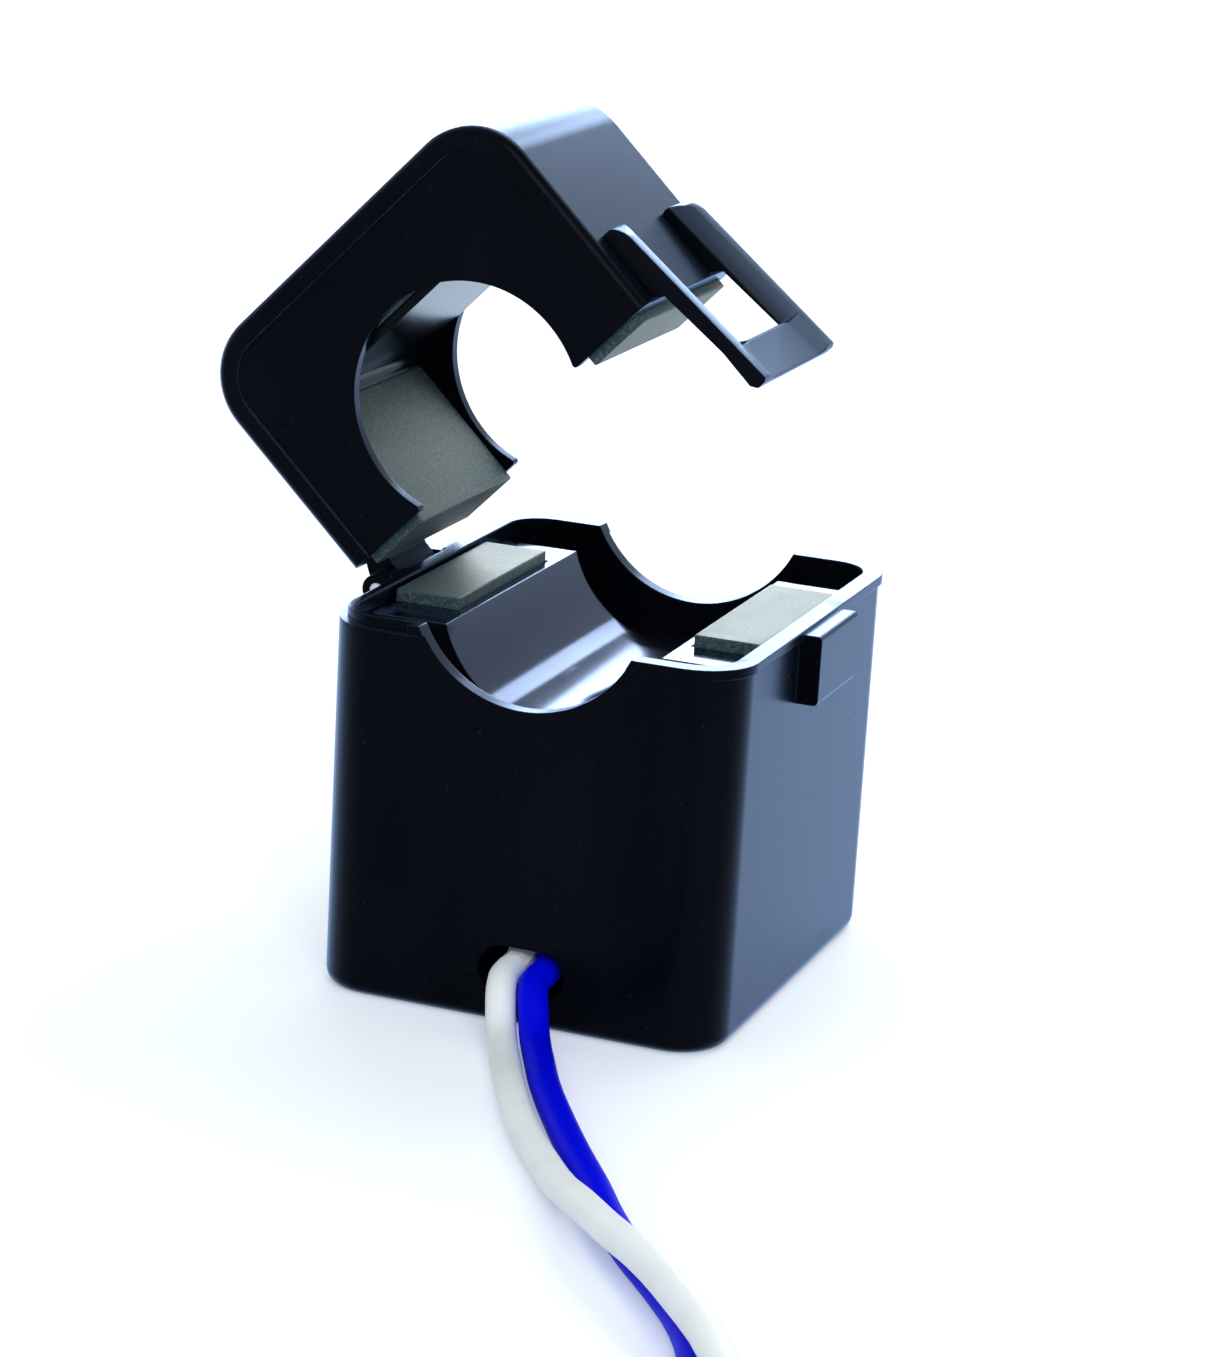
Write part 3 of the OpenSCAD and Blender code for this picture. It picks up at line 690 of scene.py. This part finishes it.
@dataclass
class Lead:
    """One lead: its free stretch over the table, the coil of the rest and its bare end.

    Its slot is the colour word that its CAD nodes start with. Its length is in metres, and the
    strands' twist is how long one turn of theirs is.
    """

    name: str
    finish: Finish
    slot: str
    route: list[Point]
    coil_height: float
    tip: str
    diameter: float = 2.1
    length: float = 1.0
    roundness: int = 5
    smoothness: int = 3
    coil_inner: float = 4.6
    turns: int = 12
    pitch: float = 2.6
    climb_turns: float = 0.5
    steps: int = 24
    entry_gap: float = 1.5
    strand: float = 0.4
    strands_around: int = 6
    strand_roundness: int = 2
    strand_twist: float = 9.0
    tip_length: float = 6.0
    tip_pace: float = 0.5

    @staticmethod
    def round_curve(name: str, diameter: float, roundness: int) -> bpy.types.Curve:
        """Empty curve data that becomes a round wire with closed ends.

        Args:
            name: The curve's name.
            diameter: The wire's diameter, in millimetres.
            roundness: How finely its section is rounded.

        Returns:
            The curve data.
        """
        curve = bpy.data.curves.new(name, "CURVE")
        curve.dimensions = "3D"
        curve.bevel_depth = diameter / 2 * MM
        curve.bevel_resolution = roundness
        curve.use_fill_caps = True
        return curve

    def coil_point(self, turned: float) -> Point:
        """A point of the coil after so many turns: in, up a layer and out again.

        Args:
            turned: How many turns have been made.

        Returns:
            The point, in millimetres.
        """
        past_half = turned - self.turns / 2
        radius = self.coil_inner + self.pitch * abs(past_half)
        climb = min(max(past_half / self.climb_turns + 0.5, 0.0), 1.0)
        angle = math.radians(COIL_START) - math.tau * turned
        return (
            COIL_CENTRE[0] + radius * math.cos(angle),
            COIL_CENTRE[1] + radius * math.sin(angle),
            self.coil_height + self.pitch * climb,
        )

    def beside_coil(self, along: float, rise: float) -> Point:
        """A point on the coil's lead-in or lead-out.

        Args:
            along: How far past the coil's first point, along its heading.
            rise: How far over the coil's lower layer.

        Returns:
            The point, in millimetres.
        """
        start = math.radians(COIL_START)
        outer = self.coil_inner + self.pitch * self.turns / 2
        return (
            COIL_CENTRE[0] + outer * math.cos(start) + along * math.sin(start),
            COIL_CENTRE[1] + outer * math.sin(start) - along * math.cos(start),
            self.coil_height + rise,
        )

    def centreline(self) -> list[Point]:
        """Every point of the lead, from the slot to the end of its insulation.

        Returns:
            The points, in millimetres.
        """
        entry = [
            self.beside_coil(-self.diameter - self.entry_gap, 0.0),
            self.beside_coil(-self.diameter, 0.0),
        ]
        wound = [self.coil_point(i / self.steps) for i in range(self.turns * self.steps + 1)]
        return [*self.route, *entry, *wound, self.beside_coil(self.diameter, self.pitch)]

    def strand_point(self, strand: int, along: float) -> Vector:
        """A point of a twisted strand in the bare end.

        Args:
            strand: The strand's number; the last one is the straight one in the middle.
            along: How far it is past the end of the insulation.

        Returns:
            The point, in millimetres.
        """
        start = math.radians(COIL_START)
        across = Vector((math.cos(start), math.sin(start), 0.0))
        middle = Vector(self.beside_coil(self.diameter + along, self.pitch))
        turn = math.tau * (strand / self.strands_around + along / self.strand_twist)
        reach = self.strand if strand < self.strands_around else 0.0
        return middle + reach * (math.cos(turn) * across + math.sin(turn) * UP)

    def build_tip(self) -> bpy.types.Object:
        """Makes the bare end: six tinned strands twisted round a seventh.

        Returns:
            The strands, as one curve object.
        """
        curve = self.round_curve(f"{self.name}_strands", self.strand, self.strand_roundness)
        for strand in range(self.strands_around + 1):
            spline = curve.splines.new("POLY")
            spline.points.add(round(self.tip_length / self.tip_pace))
            for i, knot in enumerate(spline.points):
                knot.co = (*(self.strand_point(strand, i * self.tip_pace) * MM), 1.0)
        curve.materials.append(TINNED.material())
        made = add_to_scene(f"{self.name}_strands", curve)
        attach(made, Body.BASE.value)
        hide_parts(self.tip)
        LOG.info("%s stranded", self.tip)
        return made

    def build(self, along: list[bpy.types.Object]) -> bpy.types.Object:
        """Args:
            along: The pieces that go with this lead; not used.

        Returns:
            The curve.
        """
        points = self.centreline()
        curve = self.round_curve(self.name, self.diameter, self.roundness)
        curve.resolution_u = self.smoothness
        spline = curve.splines.new("BEZIER")
        spline.bezier_points.add(len(points) - 1)
        for knot, point in zip(spline.bezier_points, points):
            knot.co = [c * MM for c in point]
            knot.handle_left_type = knot.handle_right_type = "AUTO"
        curve.materials.append(self.finish.material())
        made = add_to_scene(self.name, curve)
        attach(made, Body.BASE.value)
        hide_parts(f"{self.slot}_lead", f"{self.slot}_coil")
        tuple(c * MM for c in points[0])
        self.diameter * MM
        LOG.info("%s laid through %d points", self.name, len(points))
        return made


# Each lead's way out of the slot and over the table to its coil, as in the part's source
WHITE_ROUTE: list[Point] = [
    (0.3, -17.4, 4.2), (0.3, -18.1, 4.2), (0.36, -19, 4.1), (0.62, -20, 3.75),
    (1.02, -21, 3.04), (1.55, -22.1, 1.93), (2.2, -23.4, 1.28), (3, -25, 1.1),
    (5.9, -30.8, 1.1), (9.3, -36.8, 1.1), (12.6, -41.6, 1.3), (15.4, -45.8, 1.9),
    (18.2, -49.3, 2.6), (21.1, -52.8, 3.1), (24.4, -56, 3.3), (28.1, -60.1, 3.3),
    (32.5, -65.8, 3.2), (36, -71.8, 2.3), (38.2, -78.2, 1.3), (39, -85.5, 1.2),
    (38.6, -93, 2.4), (37.3, -100.5, 4.7), (35.7, -107.3, 6.6),
]
BLUE_ROUTE: list[Point] = [
    (2.5, -17.4, 4.1), (2.5, -18.1, 4.1), (2.58, -19, 4), (2.92, -20, 3.65),
    (3.42, -21, 2.94), (3.98, -22.1, 1.87), (4.65, -23.3, 1.28), (5.4, -24.7, 1.1),
    (7.75, -29.3, 1.1), (10.85, -34.5, 1.1), (13.85, -39.2, 1.1), (16.7, -43.4, 1.1),
    (19.3, -47.5, 1.1), (22, -51.2, 1.1), (25.2, -55, 1.1), (28.4, -59.3, 1.1),
    (31.1, -64.6, 1.1), (33.4, -70.6, 1.1), (35, -77.5, 1.1), (36, -85, 1.1),
    (36.3, -93, 1.1), (35.9, -101, 1.2), (35.2, -108, 1.6),
]


@dataclass
class CoilTie:
    """The nylon tie: a strap round one side of both coils, with its locking head and cut tail.

    Its inner corners are places out from the coils' middle and up, the strap has its width and
    thickness, and the head and the tail have their length, width and height.
    """

    inner_low: Pair = (3.45, 0.8)
    inner_high: Pair = (21.35, 10.85)
    corner: float = 1.1
    corner_steps: int = 6
    strap: Pair = (2.5, 0.8)
    head_place: float = 15.5
    head: Point = (4.2, 3.7, 2.0)
    head_sink: float = 0.05
    head_taper: float = 0.25
    tail: Point = (3.4, 1.9, 0.7)
    tail_rise: float = 0.35
    tail_overlap: float = 0.3
    tail_taper: float = 0.05
    heading: float = math.radians(COIL_START + 180.0)
    edges: EdgeRounding = EdgeRounding(0.14 * MM)

    def spot(self, out: float, side: float, height: float) -> Vector:
        """A point given by how far out from the coil's middle, how far aside and how high.

        Args:
            out: The distance from the coil's axis, along the tie.
            side: The distance to the side of the tie's middle line.
            height: The height over the floor.

        Returns:
            The point, in metres.
        """
        cosine, sine = math.cos(self.heading), math.sin(self.heading)
        x = COIL_CENTRE[0] + out * cosine - side * sine
        y = COIL_CENTRE[1] + out * sine + side * cosine
        return Vector((x, y, height)) * MM

    def loop(self) -> list[tuple[float, float, float, float]]:
        """The strap's inner line with its outward direction.

        Returns:
            Places out and up, each with the direction out and up.
        """
        near, far = self.inner_low[0] + self.corner, self.inner_high[0] - self.corner
        low, high = self.inner_low[1] + self.corner, self.inner_high[1] - self.corner
        middles = [(far, high), (near, high), (near, low), (far, low)]
        found = []
        for quarter, (out, up) in enumerate(middles):
            for step in range(self.corner_steps + 1):
                turn = math.pi / 2 * (quarter + step / self.corner_steps)
                away, rise = math.cos(turn), math.sin(turn)
                found.append((out + self.corner * away, up + self.corner * rise, away, rise))
        return found

    def add_strap(self, shape: bmesh.types.BMesh) -> None:
        """Adds the closed strap.

        Args:
            shape: The mesh to add to.
        """
        half, thick = self.strap[0] / 2, self.strap[1]
        section = ((0.0, -half), (0.0, half), (thick, half), (thick, -half))
        rings = [
            [
                shape.verts.new(self.spot(out + off * away, side, up + off * rise))
                for off, side in section
            ]
            for out, up, away, rise in self.loop()
        ]
        for here, there in zip(rings, [*rings[1:], rings[0]]):
            for i, near in enumerate(here):
                j = (i + 1) % len(here)
                shape.faces.new([near, there[i], there[j], here[j]])

    def add_block(self, shape: bmesh.types.BMesh, low: Point, high: Point, taper: float) -> None:
        """Adds a closed block that gets narrower towards its top.

        Args:
            shape: The mesh to add to.
            low: The lowest corner: out, aside, up.
            high: The highest corner.
            taper: How much each side draws in at the top.
        """
        corners = []
        for up, inset in ((low[2], 0.0), (high[2], taper)):
            outs = (low[0] + inset, high[0] - inset)
            sides = (low[1] + inset, high[1] - inset)
            for i, j in ((0, 0), (1, 0), (1, 1), (0, 1)):
                corners.append(shape.verts.new(self.spot(outs[i], sides[j], up)))
        walls = [(i, (i + 1) % 4, (i + 1) % 4 + 4, i + 4) for i in range(4)]
        for face in ((3, 2, 1, 0), (4, 5, 6, 7), *walls):
            shape.faces.new([corners[i] for i in face])

    def build(self) -> bpy.types.Object:
        """Makes the tie.

        Returns:
            The tie's object.
        """
        shape = bmesh.new()
        self.add_strap(shape)
        top = self.inner_high[1] + self.strap[1]
        start = self.head_place
        length, width, height = self.head
        low = (start, -width / 2, top - self.head_sink)
        self.add_block(shape, low, (start + length, width / 2, top + height), self.head_taper)
        reach, broad, thin = self.tail
        foot = top + self.tail_rise
        low = (start - reach, -broad / 2, foot)
        high = (start + self.tail_overlap, broad / 2, foot + thin)
        self.add_block(shape, low, high, self.tail_taper)
        bmesh.ops.recalc_face_normals(shape, faces=shape.faces)
        mesh = bpy.data.meshes.new("nylon_tie")
        shape.to_mesh(mesh)
        shape.free()
        mesh.materials.append(TIE_NYLON.material())
        made = add_to_scene("nylon_tie", mesh)
        self.edges.apply(made)
        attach(made, Body.BASE.value)
        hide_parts("coil_tie")
        LOG.info("coil tie made")
        return made


@dataclass
class Leads:
    """Both leads with their bare ends, and the tie round their coils."""

    white: Lead = field(default_factory=lambda: Lead(
        "white_cord", WHITE_PVC, "white", WHITE_ROUTE, 7.1, "white_tip"
    ))
    blue: Lead = field(default_factory=lambda: Lead(
        "blue_cord", BLUE_PVC, "blue", BLUE_ROUTE, 1.9, "blue_tip"
    ))
    tie: CoilTie = field(default_factory=CoilTie)

    def build(self) -> None:
        """Lays both leads, each with the pieces that go with it."""
        self.white.build([self.white.build_tip(), self.tie.build()])
        self.blue.build([self.blue.build_tip()])


@dataclass
class Camera:
    """The camera, at the photograph's viewing angle.

    Its distance, aim and film are in millimetres, its focal length, the photograph's long side
    and the offset of the lens's axis in pixels, and what it clips in metres.
    """

    azimuth: float = 20.1
    elevation: float = 17.2
    roll: float = 3.4
    distance: float = 284.1
    aim: Point = (0.0, 0.0, 13.65)
    focal_pixels: float = 3959.0
    long_side: int = 1357
    axis_offset: Pair = (4.0, 92.5)
    film: float = 36.0
    clip: Pair = (0.01, 20.0)

    def build(self) -> None:
        """Makes the camera and gives it to the scene."""
        az, el, roll = (math.radians(v) for v in (self.azimuth, self.elevation, self.roll))
        back = Vector((math.sin(az) * math.cos(el), -math.cos(az) * math.cos(el), math.sin(el)))
        right = (-back).cross(UP).normalized()
        up = right.cross(-back)
        tilted = math.cos(roll) * right + math.sin(roll) * up
        upright = math.cos(roll) * up - math.sin(roll) * right
        turn = Matrix((tilted, upright, back)).transposed()
        data = bpy.data.cameras.new("photo_camera")
        data.sensor_width = self.film
        data.lens = self.focal_pixels * self.film / self.long_side
        data.shift_x = self.axis_offset[0] / self.long_side
        data.shift_y = self.axis_offset[1] / self.long_side
        data.clip_start, data.clip_end = self.clip
        made = add_to_scene("photo_camera", data)
        place = Vector(self.aim) + back * self.distance
        made.matrix_world = Matrix.Translation(place * MM) @ turn.to_4x4()
        bpy.context.scene.camera = made


@dataclass
class Lamp:
    """A rectangular soft lamp that faces a point, in metres and watts."""

    name: str
    place: Point
    aim: Point
    size: Pair
    power: float
    colour: Colour = WHITE

    def build(self) -> None:
        """Makes the lamp."""
        data = bpy.data.lights.new(self.name, "AREA")
        data.shape = "RECTANGLE"
        data.size, data.size_y = self.size
        data.energy = self.power
        data.color = self.colour
        made = add_to_scene(self.name, data)
        made.location = self.place
        facing = Vector(self.place) - Vector(self.aim)
        made.rotation_euler = facing.to_track_quat("Z", "Y").to_euler()
        LOG.info("%s placed", self.name)


@dataclass
class Studio:
    """The pale floor, the white surroundings and the soft lamps."""

    floor_half: float = 3.0
    floor_colour: Colour = (0.8, 0.83, 0.87)
    glow_colour: Colour = (0.76, 0.86, 1.0)
    near_glow: float = 0.33
    far_glow: float = 0.9
    far_stretch: Pair = (0.35, 1.1)
    ambient: float = 0.6
    lamps: list[Lamp] = field(default_factory=lambda: [
        Lamp("horizon_box", (-0.3, 0.8, 0.25), (0, 0, 0.03), (0.6, 0.26), 4.0, (0.98, 0.99, 1.0)),
        Lamp("streak_box", (0.04, 0.9, 0.46), (0, 0, 0.03), (0.14, 0.08), 0.28),
        Lamp("key_box", (0.12, 0.6, 0.8), (0, 0, 0.02), (0.6, 0.4), 2.7, (0.97, 0.98, 1.0)),
        Lamp("front_fill", (0.3, -0.6, 0.5), (0, 0, 0.02), (0.4, 0.3), 2.4),
    ])

    def build(self) -> None:
        """Makes the floor, the world and the lamps."""
        self.lay_floor()
        self.light_world()
        for lamp in self.lamps:
            lamp.build()
        bpy.context.scene.view_settings.view_transform = "Standard"

    @staticmethod
    def seen(graph: Graph) -> Value:
        """1 for what the camera sees, directly or in a mirror or through glass.

        Args:
            graph: The node graph to add to.

        Returns:
            The mask.
        """
        rays = ("Is Camera Ray", "Is Glossy Ray", "Is Transmission Ray")
        direct, glossy, through = (graph.node("ShaderNodeLightPath", output=ray) for ray in rays)
        return graph.node(
            "ShaderNodeMath",
            {"operation": "ADD", "use_clamp": True},
            {0: direct + glossy, 1: through},
        )

    def lay_floor(self) -> None:
        """Lays the floor, whose glow for the camera makes it white and grows where it is far."""
        half = self.floor_half
        mesh = bpy.data.meshes.new("floor")
        corners = [(-half, -half, 0), (half, -half, 0), (half, half, 0), (-half, half, 0)]
        mesh.from_pydata(corners, [], [(0, 1, 2, 3)])
        made = add_to_scene("floor", mesh)
        material = bpy.data.materials.new("floor_paper")
        material.use_nodes = True
        graph = Graph(material.node_tree)
        paper = graph.node("ShaderNodeBsdfDiffuse", None, {"Color": self.floor_colour})
        away = graph.node("ShaderNodeVectorMath", {"operation": "LENGTH"}, {
            0: graph.node("ShaderNodeTexCoord", output="Object")
        }, "Value")
        rise = away.above(*self.far_stretch) * self.far_glow + self.near_glow
        glow = graph.node("ShaderNodeEmission", None, {
            "Color": self.glow_colour, "Strength": self.seen(graph) * rise
        })
        both = graph.node("ShaderNodeAddShader", None, {0: paper, 1: glow})
        graph.node("ShaderNodeOutputMaterial", None, {"Surface": both})
        mesh.materials.append(material)
        LOG.info("floor laid")

    def light_world(self) -> None:
        """Gives the surroundings: white to the eye and dimmer as a light."""
        world = bpy.data.worlds.new("studio")
        world.use_nodes = True
        bpy.context.scene.world = world
        graph = Graph(world.node_tree)
        strength = self.seen(graph) * (1.0 - self.ambient) + self.ambient
        sky = graph.node("ShaderNodeBackground", None, {"Color": WHITE, "Strength": strength})
        graph.node("ShaderNodeOutputWorld", None, {"Surface": sky})


def main() -> None:
    """Builds the scene."""
    logging.basicConfig(level=logging.INFO, format="%(name)s: %(message)s")
    for leftover in list(bpy.data.objects):
        bpy.data.objects.remove(leftover)
    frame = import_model()
    Camera().build()
    Leads().build()
    nodes = frame["nodes"]
    for assembly in (Base(nodes), Lid(nodes), Latch(nodes)):
        assembly.dress()
    Studio().build()


if __name__ == "__main__":
    main()
